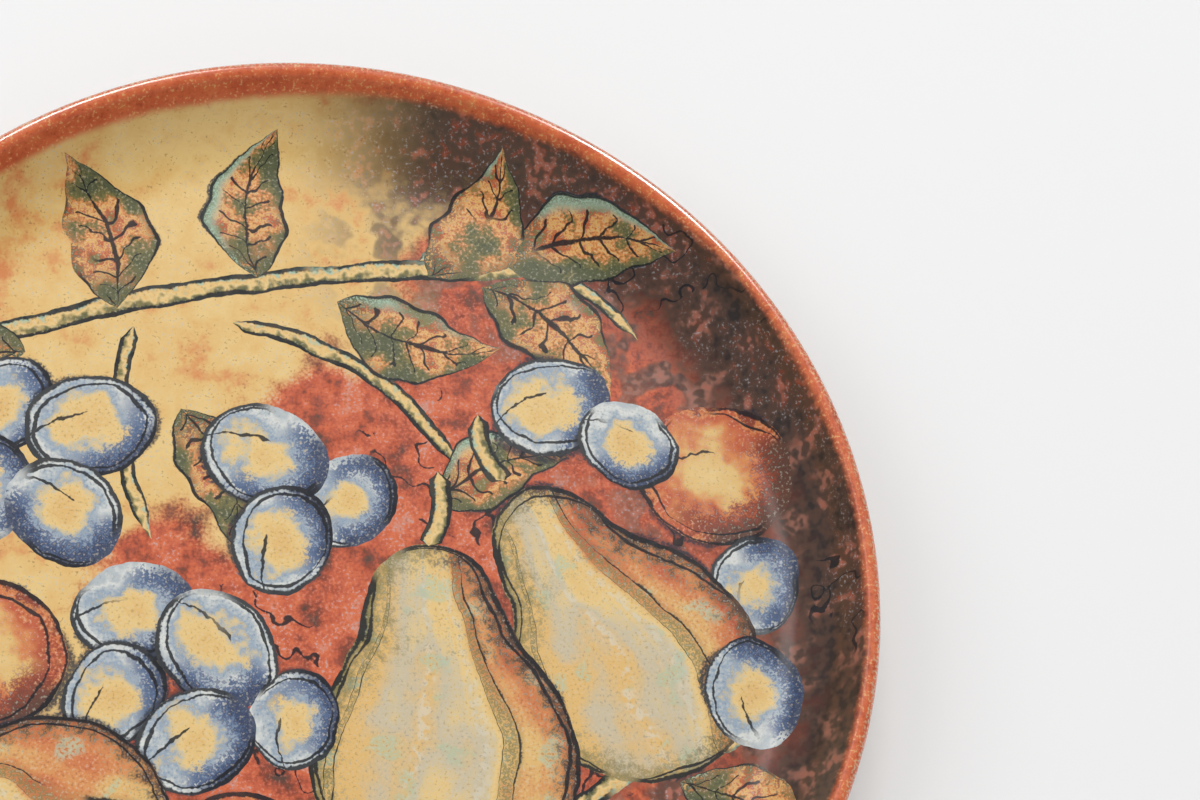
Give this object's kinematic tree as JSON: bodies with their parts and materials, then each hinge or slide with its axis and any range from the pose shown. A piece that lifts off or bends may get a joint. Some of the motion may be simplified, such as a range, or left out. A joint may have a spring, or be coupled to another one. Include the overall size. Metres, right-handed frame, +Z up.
{
  "type": "decorative plate",
  "caption": "Round shallow coupe plate in glazed earthenware with an upturned wall, a rounded lip, a foot ring and a painted fruit still life.",
  "frame": {"origin": "centre of the plate on the surface it rests on, the underside of the foot ring", "axes": "+Z up the plate's axis out of the painted face, +Y towards the top of the painting, +X to its right"},
  "size_m": [0.25, 0.25, 0.026],
  "materials": {
    "painted_glaze": "hand painted in ochre, terracotta, blue and black under a glossy clear glaze, with a bare clay edge on the foot"
  },
  "bodies": {
    "root": {"plate": "painted_glaze"}
  },
  "joints": []
}
